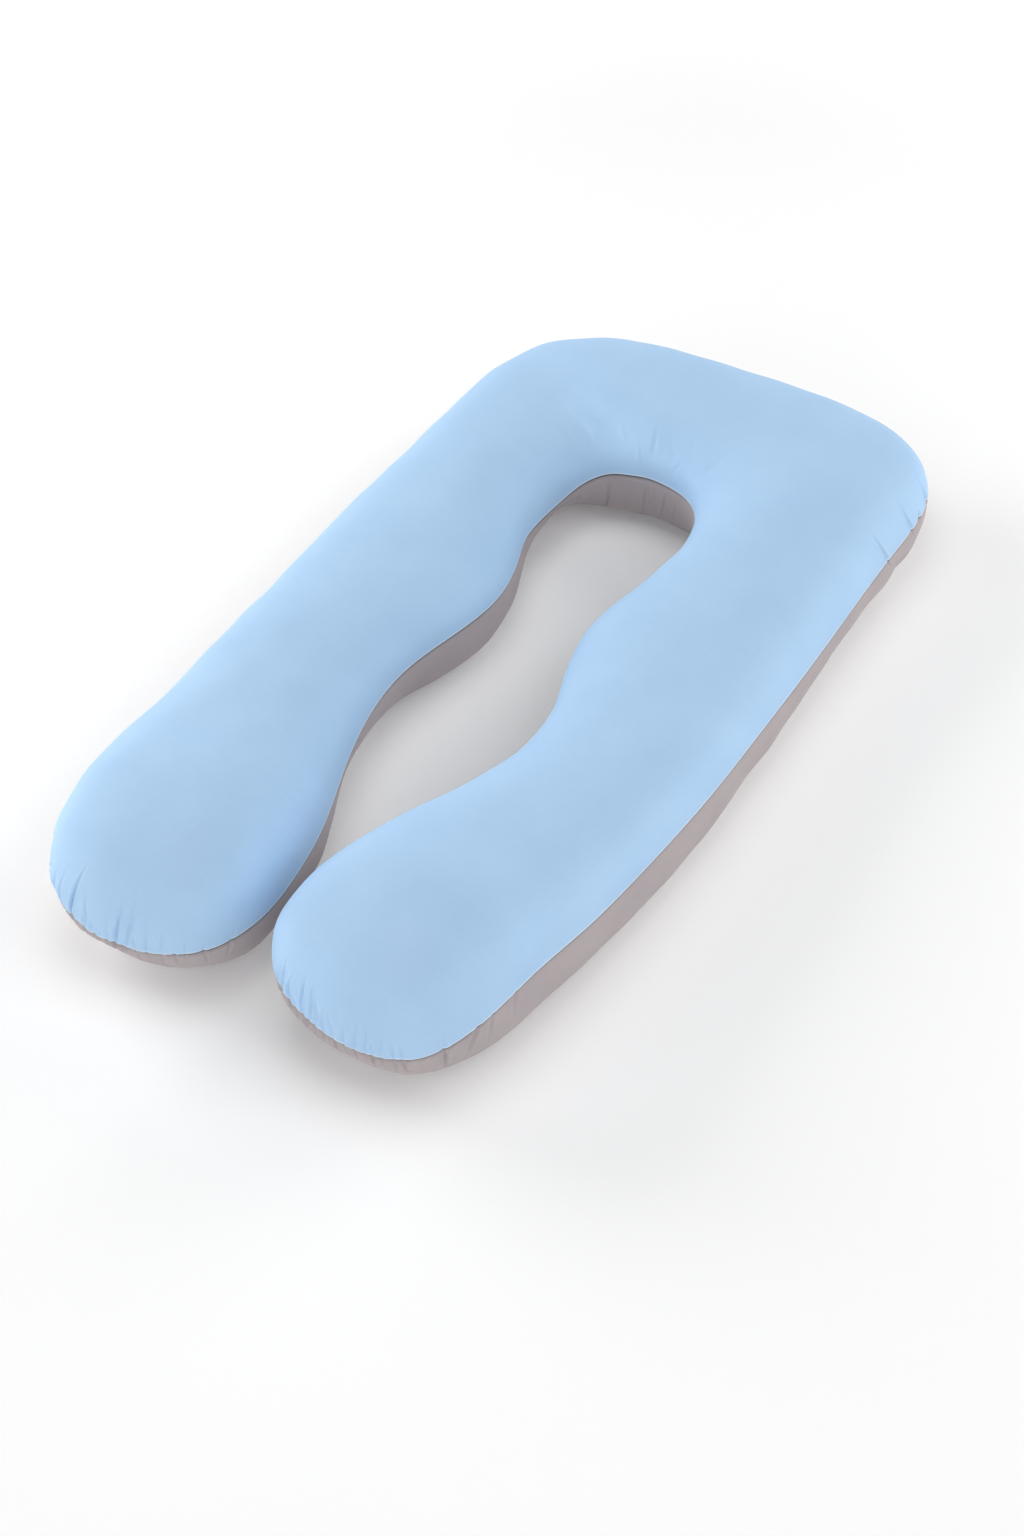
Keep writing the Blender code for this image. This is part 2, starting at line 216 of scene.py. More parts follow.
# Folds in one cover, most of which stop short of the seam: where they start and stop, measured
# from it, and how steeply they come in and go, as one over the share of their length that it takes.
FOLD_NAMES = ("seam_x", "seam_y", "start", "stop", "depth", "width", "lean", "bend")
FOLD_RISE = 3.0
FOLD_FALL = 1.6
BLUE_FOLDS = (
    # fanning out over the head end from the hollow; those of negative depth stand up
    (-0.089, 0.414, 0.060, 0.122, -0.0013, 0.0036, 0.29, 0.1),
    (-0.083, 0.417, 0.060, 0.140, 0.0010, 0.0050, 0.52, -1.4),
    (-0.067, 0.422, 0.040, 0.125, 0.0012, 0.0046, 0.57, -1.6),
    (-0.052, 0.425, 0.060, 0.106, 0.0015, 0.0034, 0.79, -2.5),
    (-0.030, 0.428, 0.050, 0.165, -0.0022, 0.0100, 0.84, -1.8),
    (-0.019, 0.429, 0.050, 0.090, -0.0012, 0.0034, 0.73, -3.2),
    (-0.016, 0.429, 0.022, 0.064, -0.0012, 0.0034, 0.37, -1.0),
    (0.001, 0.429, 0.036, 0.096, 0.0020, 0.0034, 0.16, 0.3),
    (0.020, 0.428, 0.026, 0.060, 0.0010, 0.0034, -0.78, 9.7),
    (0.040, 0.424, 0.030, 0.095, 0.0009, 0.0042, 0.35, -0.5),
    (0.055, 0.421, 0.052, 0.092, 0.0012, 0.0042, 0.82, -2.5),
    (0.070, 0.414, 0.045, 0.120, 0.0011, 0.0050, -0.20, 2.5),
    (0.087, 0.401, 0.056, 0.106, 0.0013, 0.0042, 0.90, -1.8),
)
GREY_FOLDS = (
    # on the far wall of the hollow
    (-0.114, 0.390, 0.002, 0.090, 0.0016, 0.0036, 0.08, 0.0),
    (-0.070, 0.422, 0.002, 0.150, 0.0030, 0.0021, 0.32, -1.9),
    (-0.040, 0.427, 0.002, 0.120, 0.0010, 0.0040, 0.40, -2.0),
    (-0.013, 0.429, 0.002, 0.150, 0.0026, 0.0020, 0.13, 0.8),
    (0.002, 0.429, 0.002, 0.110, 0.0012, 0.0020, 0.11, 1.2),
    (0.023, 0.427, 0.002, 0.150, 0.0028, 0.0021, 0.14, 1.6),
    (0.044, 0.424, 0.008, 0.140, 0.0018, 0.0022, 0.03, 3.8),
    # a wide dent below the right corner of the head end
    (0.399, 0.470, 0.000, 0.180, 0.0034, 0.0200, -0.10, 0.0),
)

# How far the stitching draws each cover in at the seam, and how wide the groove is.
BLUE_GROOVE = {"depth": 0.0026, "width": 0.0018, "lip": 0.0012}
GREY_GROOVE = {"depth": 0.0026, "width": 0.0045, "lip": 0.0}
LIP_PLACE = 0.0034  # from the seam to the ridge over the hem inside it
LIP_WIDTH = 0.0024

# The easing of the cloth into the seam, for its simulation: shares of its length taken up where
# the seam turns most tightly, and how the result is kept small.
GATHER_LEAST = -0.01
GATHER_MOST = 0.11
GATHER_BAND = 0.007
GATHER_TURN = 0.20  # radius of a curve that is gathered in full
GATHER_NAMES = ("x", "share")  # how much of the seam's turn is gathered, across the two feet
GATHER_SHARES = (
    (-0.38, 0.4), (-0.32, 1.0), (-0.14, 0.8), (-0.05, 0.1),
    (0.03, 0.2), (0.07, 1.0), (0.25, 0.8), (0.31, 0.2), (0.38, 0.0),
)
GATHER_FROM = -0.42  # y above which nothing is gathered
GATHER_RISE = 0.10  # and the length below it over which the gathering comes in
GATHER_EVENING = 0.020  # distance along the seam over which that changes
GATHER_NOTICED = 0.02  # a point with a smaller share isn't gathered at all
RESTING_HEIGHT = 0.0015  # cloth that starts lower than this stays on the floor
FILLING_PRESSURE = 4.0
SETTLING_SHARE = 0.3  # share of the creases' depth that the simulation starts from
SETTLING_FRAMES = 16
EVENING_ROUNDS = 40  # evening out the movement shows the slow part of it, which isn't kept
EVENING_SHARES = (0.9, 0.1)  # of the points beside it and of the point itself, in a round
SHORTEST_THREAD = 0.002  # shorter threads even out no faster than this length
WRINKLE_LIMIT = 0.0030  # the most that a point may move
WRINKLE_REACH = 0.030  # wrinkles fade out beyond this distance from the seam
WRINKLE_FADE = 0.060
WRINKLE_TURN = 2.5  # wrinkles are in full where the gathering is one over this
WRINKLE_RISE = 0.030  # height above the floor over which they come in

# Slow unevenness of the filling.
LUMP_HEIGHT = 0.0010
LUMP_SIZE = 0.095
LUMP_SPREAD = (0.7, 1.6)  # the shortest and the longest wave, as shares of that size
LUMP_RISE = 0.050  # distance from the seam, and height above the floor, over which it comes in
LUMP_WAVES = 9
LUMP_SEED = 11

# Points at one place are joined: their places are counted in steps, which make up one number.
PLACE_STEPS = 2e4  # in a metre
PLACE_SHIFT = 0.137  # a part of a step, which keeps round sizes off the edge between two
PLACE_BASE = 200003  # more than the steps from one end of the pillow to the other

SHARP_TURN = math.radians(70)  # cloth that turns more than this at a thread has a sharp edge
TINY = 1e-9


# ---------------------------------------------------------------- the seam

def named_rows(names, rows):
    """One dictionary for each row of a table."""
    return [dict(zip(names, row)) for row in rows]


def table_value(names, rows, where):
    """A table's second column at places in its first, on straight lines from row to row."""
    table = named_rows(names, rows)
    return np.interp(where, [r[names[0]] for r in table], [r[names[1]] for r in table])


def smooth_step(share):
    """0 below 0 and 1 above 1, with a smooth rise between."""
    share = np.clip(share, 0, 1)
    return share**2 * (3 - 2 * share)


def seam_point(row, painted_lip, side):
    """One point of the seam: its x, y and z, the belly under it and the crown beside it."""
    place = [row[painted_lip + what] for what in ("x", "y", "z", "belly")]
    return (side * place[0], *place[1:], row["crown_z"])


def side_outline(side, sections, foot):
    """Seam points down the outside of a leg, round its foot and back up its inside."""
    rows = named_rows(SECTION_NAMES, sections)
    around = [dict(row, crown_z=rows[-1]["crown_z"]) for row in named_rows(FOOT_NAMES, foot)]
    outer = [seam_point(row, "outer_", side) for row in rows]
    inner = [seam_point(row, "inner_", side) for row in rows]
    return outer + [seam_point(row, "", side) for row in around] + inner[::-1]


def seam_outline():
    """Seam points round the whole pillow, clockwise from the far side of the head end."""
    head = named_rows(SECTION_NAMES, [HEAD_SECTION])[0]
    right = side_outline(1, RIGHT_SECTIONS, RIGHT_FOOT)
    left = side_outline(-1, LEFT_SECTIONS, LEFT_FOOT)
    far, hollow = seam_point(head, "outer_", 1), seam_point(head, "inner_", 1)
    points = np.array([far, *right, hollow, *left[::-1]])
    low, high = points.min(axis=0), points.max(axis=0)
    for axis, size in ((0, PILLOW_WIDTH), (1, PILLOW_LENGTH)):
        middle = (low[axis] + high[axis]) / 2
        points[:, axis] = (points[:, axis] - middle) * size / (high[axis] - low[axis])
    return points


def closed_curve(points):
    """A function that reads the smooth closed curve through the points, at any point number."""
    count = len(points)
    step = np.roll(points, -1, axis=0) - points
    chord = np.linalg.norm(step[:, :2], axis=1)
    slope = step / chord[:, None]
    # the tangents of a closed cubic spline, whose bend doesn't jump at any point
    system = np.zeros((count, count))
    target = np.zeros(points.shape)
    for i in range(count):
        before, after = chord[i - 1], chord[i]
        system[i, i - 1] = after
        system[i, i] = 2 * (before + after)
        system[i, (i + 1) % count] = before
        target[i] = 3 * (after * slope[i - 1] + before * slope[i])
    tangent = np.linalg.solve(system, target)

    def at(number):
        i = np.floor(number).astype(int)
        share = (number - i)[:, None]
        start, end = i % count, (i + 1) % count
        length = chord[start][:, None]
        rest = 1 - share
        return (
            points[start] * (1 + 2 * share) * rest**2
            + points[end] * (3 - 2 * share) * share**2
            + tangent[start] * length * share * rest**2
            - tangent[end] * length * rest * share**2
        )

    return at


def spaced_numbers(first, last, *lines):
    """Seam numbers from first to last, about as far apart on the lines as the table says."""
    dense = np.linspace(first, last, SPACING_SAMPLES)
    steps = np.zeros(len(dense) - 1)
    sharp = named_rows(CREASE_NAMES, SEAM_CREASES) + named_rows(FOLD_NAMES, GREY_FOLDS)
    starts = np.array([(line["seam_x"], line["seam_y"]) for line in sharp])
    for line in lines:
        place = line(dense)
        spacing = table_value(COLUMN_NAMES, COLUMN_SPACING, place[1:, 1])
        away = np.linalg.norm(place[1:, None, :2] - starts, axis=2).min(axis=1)
        beside = smooth_step(2 - away / CREASE_NEARNESS)
        spacing = spacing + (CREASE_SPACING - spacing) * beside
        run = np.linalg.norm(np.diff(place[:, :2], axis=0), axis=1)
        steps = np.maximum(steps, run / spacing)
    passed = np.concatenate([[0], np.cumsum(steps)])
    columns = 2 * math.ceil(passed[-1] / 2)
    return np.interp(np.linspace(0, passed[-1], columns + 1), passed, dense)


def seam_columns():
    """The cloth's columns, patch by patch: seam points, middle points and runs along the seam."""
    outline = seam_outline()
    at = closed_curve(outline)
    total, sections = len(outline), len(RIGHT_SECTIONS)
    hollow = 2 * sections + len(RIGHT_FOOT) + 1  # number of the point in the middle of the hollow
    numbers = np.linspace(0, total, RUN_SAMPLES)
    run = np.linalg.norm(np.diff(at(numbers)[:, :2], axis=0), axis=1)
    run = np.concatenate([[0], np.cumsum(run)])
    patches = []
    for outside, inside in (
        (lambda n: n, lambda n: hollow - n),
        (lambda n: total - n, lambda n: hollow + n),
    ):
        tube = spaced_numbers(
            0.0, sections, lambda n, s=outside: at(s(n)), lambda n, s=inside: at(s(n))
        )
        foot = spaced_numbers(sections, hollow - sections, lambda n, s=outside: at(s(n)))
        middle = (at(outside(tube)) + at(inside(tube))) / 2
        last = np.repeat(middle[-1:], len(foot), axis=0)
        for place, centre, eased in (
            (outside(tube), middle, 1.0),
            (inside(tube), middle, 0.0),
            (outside(foot), last, 1.0),
        ):
            along = np.interp(place, numbers, run)
            patches.append({"seam": at(place), "middle": centre, "run": along, "eased": eased})
    return patches


# ---------------------------------------------------------------- the covers' shape

def panel_section(seam, middle, above, rows):
    """Cloth from each seam point in to the tube's middle: points, runs from the seam, pattern."""
    fullness = table_value(CROWN_NAMES, CROWNS, seam[:, 1]) if above else seam[:, 3]
    turn = np.linspace(0, np.pi / 2, PROFILE_SAMPLES)[None, :]
    power = 2 / fullness[:, None]
    inwards = 1 - np.maximum(np.cos(turn), 0) ** power
    upwards = np.sin(turn) ** power
    inwards[:, -1] = 1
    if not above:
        upwards = np.minimum(upwards / (1 - CONTACT_SHARE), 1)
    far_z = middle[:, 4] if above else np.zeros(len(middle))
    span = np.column_stack([middle[:, :2], far_z]) - seam[:, :3]
    shares = np.stack([inwards, inwards, upwards], axis=2)
    profile = seam[:, None, :3] + span[:, None] * shares
    length = np.linalg.norm(np.diff(profile, axis=1), axis=2)
    length = np.concatenate([np.zeros((len(seam), 1)), np.cumsum(length, axis=1)], axis=1)
    wanted = np.linspace(0, 1, rows + 1) ** ROW_GRADING
    points = np.empty((len(seam), rows + 1, 3))
    for column in range(len(seam)):
        for axis in range(3):
            points[column, :, axis] = np.interp(
                wanted * length[column, -1], length[column], profile[column, :, axis]
            )
    from_seam = wanted[None, :] * length[:, -1:]
    out = seam[:, :2] - middle[:, :2]
    out = out / np.maximum(np.linalg.norm(out, axis=1, keepdims=True), TINY)
    pattern = middle[:, None, :2] + out[:, None] * (length[:, -1:] - from_seam)[:, :, None]
    return points, from_seam, pattern


def placed(names, rows, patches):
    """The rows of a crease table, each with its run along the seam."""
    seam = np.concatenate([p["seam"][:, :2] for p in patches])
    run = np.concatenate([p["run"] for p in patches])
    lines = []
    for line in named_rows(names, rows):
        away = np.hypot(seam[:, 0] - line["seam_x"], seam[:, 1] - line["seam_y"])
        lines.append(dict(line, run=run[np.argmin(away)]))
    return lines


def crease_depth(patch, from_seam, height, creases, folds, above):
    """How far the creases and folds draw the cloth in."""
    run = patch["run"][:, None]
    creased, folded = np.zeros(from_seam.shape), np.zeros(from_seam.shape)
    free = smooth_step(from_seam / SEAM_HOLD_REACH)
    held = SEAM_HOLD + (1 - SEAM_HOLD) * free
    near_seam = np.exp(-((from_seam / NICK_REACH) ** 2))
    for line in creases:
        reach = line["above"] if above else line["below"]
        lean = line["lean"] if above else -line["lean"]
        bend = line["bend"] if above else 0.0
        beside = run - line["run"] - lean * from_seam - bend * from_seam**2
        shape = furrow(beside, line, from_seam / reach) * held * smooth_step(1 - from_seam / reach)
        if not above:
            share = min(GREY_SHARE, GREY_MOST / line["depth"])
            shape *= 1 + (share - 1) * free
        creased += shape
        creased += line["nick"] * nick(run - line["run"]) * near_seam
    for line in folds:
        along = (from_seam - line["start"]) / (line["stop"] - line["start"])
        beside = run - line["run"] - line["lean"] * from_seam - line["bend"] * from_seam**2
        ends = smooth_step(FOLD_RISE * along) * smooth_step(FOLD_FALL - FOLD_FALL * along)
        folded += furrow(beside, line, along) * ends
    if not above:
        creased *= smooth_step((height - GREY_CREASE_LOW) / GREY_CREASE_RISE)
        folded *= smooth_step(height / GREY_FOLD_RISE)
    return creased + folded


def nick(beside):
    """A step of the seam inwards, which comes back slowly along it."""
    back = np.exp(-((np.maximum(beside, 0) / NICK_RETURN) ** NICK_POWER))
    return smooth_step(beside / NICK_STEP + 0.5) * back


def furrow(beside, line, along):
    """A furrow across a crease, with a low ridge on each side, narrower towards its end."""
    width = line["width"] * (1 - FURROW_TAPER * np.clip(along, 0, 1))
    middle = np.exp(-(np.abs(beside / width) ** FURROW_POWER))
    ridges = np.exp(-(((np.abs(beside) - RIDGE_PLACE * width) / (RIDGE_WIDTH * width)) ** 2))
    return line["depth"] * (middle - RIDGE_SHARE * ridges)


def inward(patch, points):
    """Directions from the cloth towards the core of the filling, at the height of the seam."""
    core = np.column_stack([patch["middle"][:, :2], patch["seam"][:, 2]])
    towards = core[:, None] - points
    return towards / np.maximum(np.linalg.norm(towards, axis=2, keepdims=True), TINY)


def lumps(points):
    """Slow rises and dips of the filling, from a few waves in fixed random directions."""
    chance = np.random.default_rng(LUMP_SEED)
    total = np.zeros(points.shape[:-1])
    for _ in range(LUMP_WAVES):
        way = chance.normal(size=3)
        way *= 2 * np.pi / (LUMP_SIZE * chance.uniform(*LUMP_SPREAD) * np.linalg.norm(way))
        total += np.sin(points @ way + chance.uniform(0, 2 * np.pi))
    return total * LUMP_HEIGHT / math.sqrt(LUMP_WAVES / 2)


def cover_grids(patches, above, creases, folds):
    """The grids of one cover, patch by patch, creased but not settled."""
    rows = BLUE_ROWS if above else GREY_ROWS
    grids = []
    for patch in patches:
        plain, from_seam, pattern = panel_section(patch["seam"], patch["middle"], above, rows)
        depth = crease_depth(patch, from_seam, plain[:, :, 2], creases, folds, above)
        drawn = inward(patch, plain) * depth[:, :, None]
        run = np.broadcast_to(patch["run"][:, None], from_seam.shape)
        grids.append(
            {
                "plain": plain,
                "slack": plain + SETTLING_SHARE * drawn,
                "points": plain + drawn,
                "core": patch["middle"][:, :3],
                "from_seam": from_seam,
                "pattern": pattern,
                "seam_place": np.dstack([run, from_seam]),
            }
        )
    return grids


# ---------------------------------------------------------------- joining grids

def joined(places):
    """A number for each point, the same for points at one place."""
    steps = np.round(places * PLACE_STEPS + PLACE_SHIFT).astype(np.int64)
    keys = (steps[:, 0] * PLACE_BASE + steps[:, 1]) * PLACE_BASE + steps[:, 2]
    return np.unique(keys, return_inverse=True)[1].reshape(-1)


def averaged(values, number):
    """The mean of the values that share each number."""
    count = np.maximum(np.bincount(number), 1)
    return np.stack([np.bincount(number, column) for column in values.T], axis=1) / count[:, None]


def grid_faces(columns, rows, first):
    """Corner numbers of the quads of a grid whose points are numbered from first."""
    number = first + np.arange(columns * rows).reshape(columns, rows)
    corners = (number[:-1, :-1], number[1:, :-1], number[1:, 1:], number[:-1, 1:])
    return np.stack([c.ravel() for c in corners], axis=1)


def whole_faces(corners):
    """Each quad's corners that are kept once its doubled corners are left out."""
    kept = []
    for corner in corners.tolist():
        keep = [i for i in range(4) if corner[i] != corner[i - 1]]
        kept.append(keep if len(keep) > 2 else [])
    return kept


# ---------------------------------------------------------------- settling of the cloth

def seam_turn(patch):
    """How tightly the outer seam turns round the filling at each column: 1 is gathered in full."""
    way = np.gradient(patch["seam"][:, :2], axis=0)
    angle = np.unwrap(np.arctan2(way[:, 1], way[:, 0]))
    bend = np.gradient(angle) / np.maximum(np.abs(np.gradient(patch["run"])), TINY)
    aside = np.column_stack([-way[:, 1], way[:, 0]])
    inside = patch["middle"][:, :2] - patch["seam"][:, :2]
    bend *= np.sign((aside * inside).sum(axis=1))
    share = table_value(GATHER_NAMES, GATHER_SHARES, patch["seam"][:, 0])
    share *= smooth_step((GATHER_FROM - patch["seam"][:, 1]) / GATHER_RISE)
    return patch["eased"] * share * np.clip(bend * GATHER_TURN, 0, 1)


def gathered_shares(patches):
    """The seam's turn at each column of each patch, evened out along the seam."""
    turn = np.concatenate([seam_turn(patch) for patch in patches])
    run = np.concatenate([patch["run"] for patch in patches])
    length = np.concatenate([np.abs(np.gradient(patch["run"])) for patch in patches])
    shares = []
    for patch in patches:
        near = np.exp(-(((patch["run"][:, None] - run) / GATHER_EVENING) ** 2)) * length
        shares.append((near * turn).sum(axis=1) / near.sum(axis=1))
    return shares


def evened(values, edges, strength):
    """Values on the cloth's points, evened out over its threads."""
    first, second = edges.T
    others, own = EVENING_SHARES
    total = np.bincount(first, strength, len(values)) + np.bincount(second, strength, len(values))
    for _ in range(EVENING_ROUNDS):
        near = np.stack(
            [
                np.bincount(first, strength * column[second], len(values))
                + np.bincount(second, strength * column[first], len(values))
                for column in values.T
            ],
            axis=1,
        )
        values = others * near / total[:, None] + own * values
    return values


def between(coarse):
    """A grid with a point added between each two along its first direction, on a cubic curve."""
    first, last = coarse[:1], coarse[-1:]
    wide = np.concatenate([2 * first - coarse[1:2], coarse, 2 * last - coarse[-2:-1]])
    middle = (9 * (wide[1:-2] + wide[2:-1]) - wide[:-3] - wide[3:]) / 16
    fine = np.empty((2 * len(coarse) - 1, *coarse.shape[1:]))
    fine[::2], fine[1::2] = coarse, middle
    return fine


def settling_cloth(start, loops, gather):
    """The cloth that is simulated, with its gathered points and those at rest on the floor."""
    mesh = bpy.data.meshes.new("settling_cloth")
    mesh.from_pydata(start.tolist(), [], loops)
    work = bmesh.new()
    work.from_mesh(mesh)
    bmesh.ops.recalc_face_normals(work, faces=work.faces)
    work.to_mesh(mesh)
    work.free()
    cloth = bpy.data.objects.new("settling_cloth", mesh)
    bpy.context.scene.collection.objects.link(cloth)
    gathered = cloth.vertex_groups.new(name="gathered")
    for point in np.nonzero(gather > GATHER_NOTICED)[0].tolist():
        gathered.add([point], float(gather[point]), "REPLACE")
    resting = cloth.vertex_groups.new(name="resting")
    resting.add(np.nonzero(start[:, 2] < RESTING_HEIGHT)[0].tolist(), 1.0, "REPLACE")
    return cloth


def pressed(cloth):
    """Places of the cloth's points once the filling has pressed it out and its gathers pull."""
    modifier = cloth.modifiers.new("settling", "CLOTH")
    modifier.point_cache.frame_start = 1
    modifier.point_cache.frame_end = SETTLING_FRAMES
    modifier.collision_settings.use_collision = False
    modifier.collision_settings.use_self_collision = False
    settings = modifier.settings
    settings.quality = 6
    settings.mass = 0.15
    settings.air_damping = 2
    settings.tension_stiffness = 15
    settings.compression_stiffness = 15
    settings.shear_stiffness = 5
    settings.bending_stiffness = 0.1
    settings.use_pressure = True
    settings.uniform_pressure_force = FILLING_PRESSURE
    settings.shrink_min, settings.shrink_max = GATHER_LEAST, GATHER_MOST
    settings.vertex_group_shrink = "gathered"
    settings.vertex_group_mass = "resting"
    settings.pin_stiffness = 1
    settings.effector_weights.gravity = 0
    for frame_number in range(1, SETTLING_FRAMES + 1):
        bpy.context.scene.frame_set(frame_number)
    shaped = cloth.evaluated_get(bpy.context.evaluated_depsgraph_get())
    places = np.empty(3 * len(cloth.data.vertices))
    shaped.data.vertices.foreach_get("co", places)
    return places.reshape(-1, 3)


def wrinkled(start, loops, gather):
    """How far the simulation moves each point, without the slow bulging of the whole cloth."""
    cloth = settling_cloth(start, loops, gather)
    mesh = cloth.data
    moved = pressed(cloth) - start
    edges = np.empty(2 * len(mesh.edges), dtype=np.int32)
    mesh.edges.foreach_get("vertices", edges)
    edges = edges.reshape(-1, 2)
    bpy.data.objects.remove(cloth)
    bpy.data.meshes.remove(mesh)
    bpy.context.scene.frame_set(1)
    length = np.linalg.norm(start[edges[:, 0]] - start[edges[:, 1]], axis=1)
    wrinkles = moved - evened(moved, edges, 1 / np.maximum(length, SHORTEST_THREAD))
    size = np.maximum(np.linalg.norm(wrinkles, axis=1, keepdims=True), TINY)
    return wrinkles * (WRINKLE_LIMIT * np.tanh(size / WRINKLE_LIMIT) / size)


def settle(patches, *covers):
    """The covers' points moved as gathered cloth moves when its filling presses it outwards."""
    grids = [grid for cover in covers for grid in cover]
    coarse = [grid["slack"][::2, ::2] for grid in grids]
    plain = np.concatenate([grid["plain"][::2, ::2].reshape(-1, 3) for grid in grids])
    number = joined(plain)
    start = averaged(np.concatenate([c.reshape(-1, 3) for c in coarse]), number)
    starts = np.concatenate([[0], np.cumsum([c.shape[0] * c.shape[1] for c in coarse])])
    quads = np.concatenate([grid_faces(*c.shape[:2], f) for c, f in zip(coarse, starts)])
    quads = number[quads]
    loops = [[q[i] for i in keep] for q, keep in zip(quads.tolist(), whole_faces(quads)) if keep]
    gather = np.zeros(len(start))
    turns = gathered_shares(patches) * len(covers)
    for grid, turn, first in zip(grids, turns, starts):
        band = np.exp(-((grid["from_seam"][::2, ::2] / GATHER_BAND) ** 2))
        share = turn[::2, None] * band
        np.maximum.at(gather, number[first : first + share.size], share.ravel())
    wrinkles = wrinkled(start, loops, gather)
    for grid, turn, c, first in zip(grids, turns, coarse, starts):
        part = wrinkles[number[first : first + c.shape[0] * c.shape[1]]].reshape(c.shape)
        part = between(between(part).swapaxes(0, 1)).swapaxes(0, 1)
        fading = 1 - smooth_step((grid["from_seam"] - WRINKLE_REACH) / WRINKLE_FADE)
        risen = smooth_step(grid["plain"][:, :, 2] / WRINKLE_RISE)
        fading *= smooth_step(turn * WRINKLE_TURN)[:, None] * risen
        grid["points"] = grid["points"] + part * fading[:, :, None]


def finish_grids(patches, grids, above):
    """The seam's groove and the filling's unevenness, and nothing below the floor."""
    groove = BLUE_GROOVE if above else GREY_GROOVE
    for grid, patch in zip(grids, patches):
        from_seam = grid["from_seam"]
        depth = groove["depth"] * np.exp(-((from_seam / groove["width"]) ** 2))
        depth -= groove["lip"] * np.exp(-(((from_seam - LIP_PLACE) / LIP_WIDTH) ** 2))
        height = grid["plain"][:, :, 2]
        free = 1.0 if above else smooth_step(height / LUMP_RISE)
        swell = lumps(grid["plain"]) * smooth_step(from_seam / LUMP_RISE) * free
        points = grid["points"] + inward(patch, grid["plain"]) * (depth - swell)[:, :, None]
        points[:, :, 2] = np.maximum(points[:, :, 2], 0)
        grid["points"] = points


# ---------------------------------------------------------------- the covers as meshes

def facing(faces, points, towards):
    """The faces, turned where needed so that as a whole they face the given directions."""
    a, b, c, d = (points[faces[:, i]] for i in range(4))
    normal = np.cross(c - a, d - b)
    centre = (a + b + c + d) / 4
    return faces if (normal * towards(centre)).sum() > 0 else faces[:, ::-1]


def cover_parts(grids, above):
    """Each grid of a cover, and the strip that closes it from its seam in to the core."""
    inside = np.array([0.0, 0.0, -1.0 if above else 1.0])
    parts = []
    for grid in grids:
        middle = grid["core"].mean(axis=0)
        parts.append((grid["points"], grid["plain"], grid, lambda c, m=middle: c - m))
        rim = np.stack([grid["points"][:, 0], grid["core"]], axis=1)
        plain_rim = np.stack([grid["plain"][:, 0], grid["core"]], axis=1)
        parts.append((rim, plain_rim, grid, lambda c: inside))
    return parts


def make_cover(name, grids, above):
    """One closed cover from its grids, with the inside of the seam closed over the filling."""
    lift = PANEL_GAP / 2 if above else -PANEL_GAP / 2
    points, plain, faces, layers = [], [], [], {"pattern": [], "seam_place": []}
    count = 0
    for places, at_rest, grid, towards in cover_parts(grids, above):
        columns, rows = places.shape[:2]
        places = places.copy()
        places[:, 0, 2] += lift
        if rows == 2:
            # a strip inside the seam, which is lifted as a whole
            places[:, 1, 2] += lift
        flat = places.reshape(-1, 3)
        faces.append(facing(grid_faces(columns, rows, 0), flat, towards) + count)
        points.append(flat)
        plain.append(at_rest.reshape(-1, 3))
        for layer, values in layers.items():
            place = grid[layer] if rows > 2 else np.stack([grid[layer][:, 0]] * 2, axis=1)
            values.append(place.reshape(-1, 2))
        count += columns * rows
    number = joined(np.concatenate(plain))
    points = averaged(np.concatenate(points), number)
    faces = np.concatenate(faces)
    corners = number[faces]
    loops, sources = [], []
    for corner, source, keep in zip(corners.tolist(), faces.tolist(), whole_faces(corners)):
        if keep:
            loops.append([corner[i] for i in keep])
            sources += [source[i] for i in keep]
    mesh = bpy.data.meshes.new(name)
    mesh.from_pydata(points.tolist(), [], loops)
    for layer, values in layers.items():
        places = np.concatenate(values)[sources].astype(np.float32)
        mesh.uv_layers.new(name=layer).data.foreach_set("uv", places.ravel())
    mesh.shade_smooth()
    mesh.set_sharp_from_angle(angle=SHARP_TURN)
    mesh.update()
    cover = bpy.data.objects.new(name, mesh)
    bpy.context.scene.collection.objects.link(cover)
    return cover


# ---------------------------------------------------------------- cloth

THREAD_PITCH = 0.0005
THREAD_WANDER = 1.6  # how many threads the weave wanders,
WANDER_WAVES = 70.0  # in so many waves a metre
THREAD_ROUNDNESS = 4.0  # brings a thread's height to nothing at its two sides
CLOUD_WAVES = 9.0  # waves a metre of the yarn's tone: its clouds,
STREAK_WAVES = 22.0  # its streaks, along the thread
STREAK_WAVES_ACROSS = 620.0  # and across it
CLOUD_SHARE = 0.52  # of the tone, from the clouds,
STREAK_SHARE = 0.24  # and from each thread's streaks
TONE_RANGE = (0.30, 0.70)  # part of that mixture's range that is spread over the whole tone
CLOTH_ROUGHNESS = (0.90, 0.80)  # of the deepest tone and of the palest
CRINKLE_WAVES = 110.0  # waves a metre of the slack cloth's small crinkles
CRINKLE_HEIGHT = 0.0010
CRINKLE_STRENGTH = 0.20
THREAD_HEIGHT = 0.00012
THREAD_STRENGTH = 0.35
SHADE_START = 0.15  # share of its width over which the groove's shade is in full
PAINTED_LIP_START = (0.0005, 0.0015)  # distances from the seam between which the lip's painted light comes in,
PAINTED_LIP_END = (0.0030, 0.0058)  # and between which it goes


def feed(tree, socket, value):
    """A socket set to a plain value, or linked to the output of another node."""
    if isinstance(value, bpy.types.NodeSocket):
        tree.links.new(value, socket)
    else:
        socket.default_value = value


def computed(tree, operation, *inputs):
    """The output of a math node, fed with numbers and outputs."""
    node = tree.nodes.new("ShaderNodeMath")
    node.operation = operation
    for socket, value in zip(node.inputs, inputs):
        feed(tree, socket, value)
    return node.outputs["Value"]


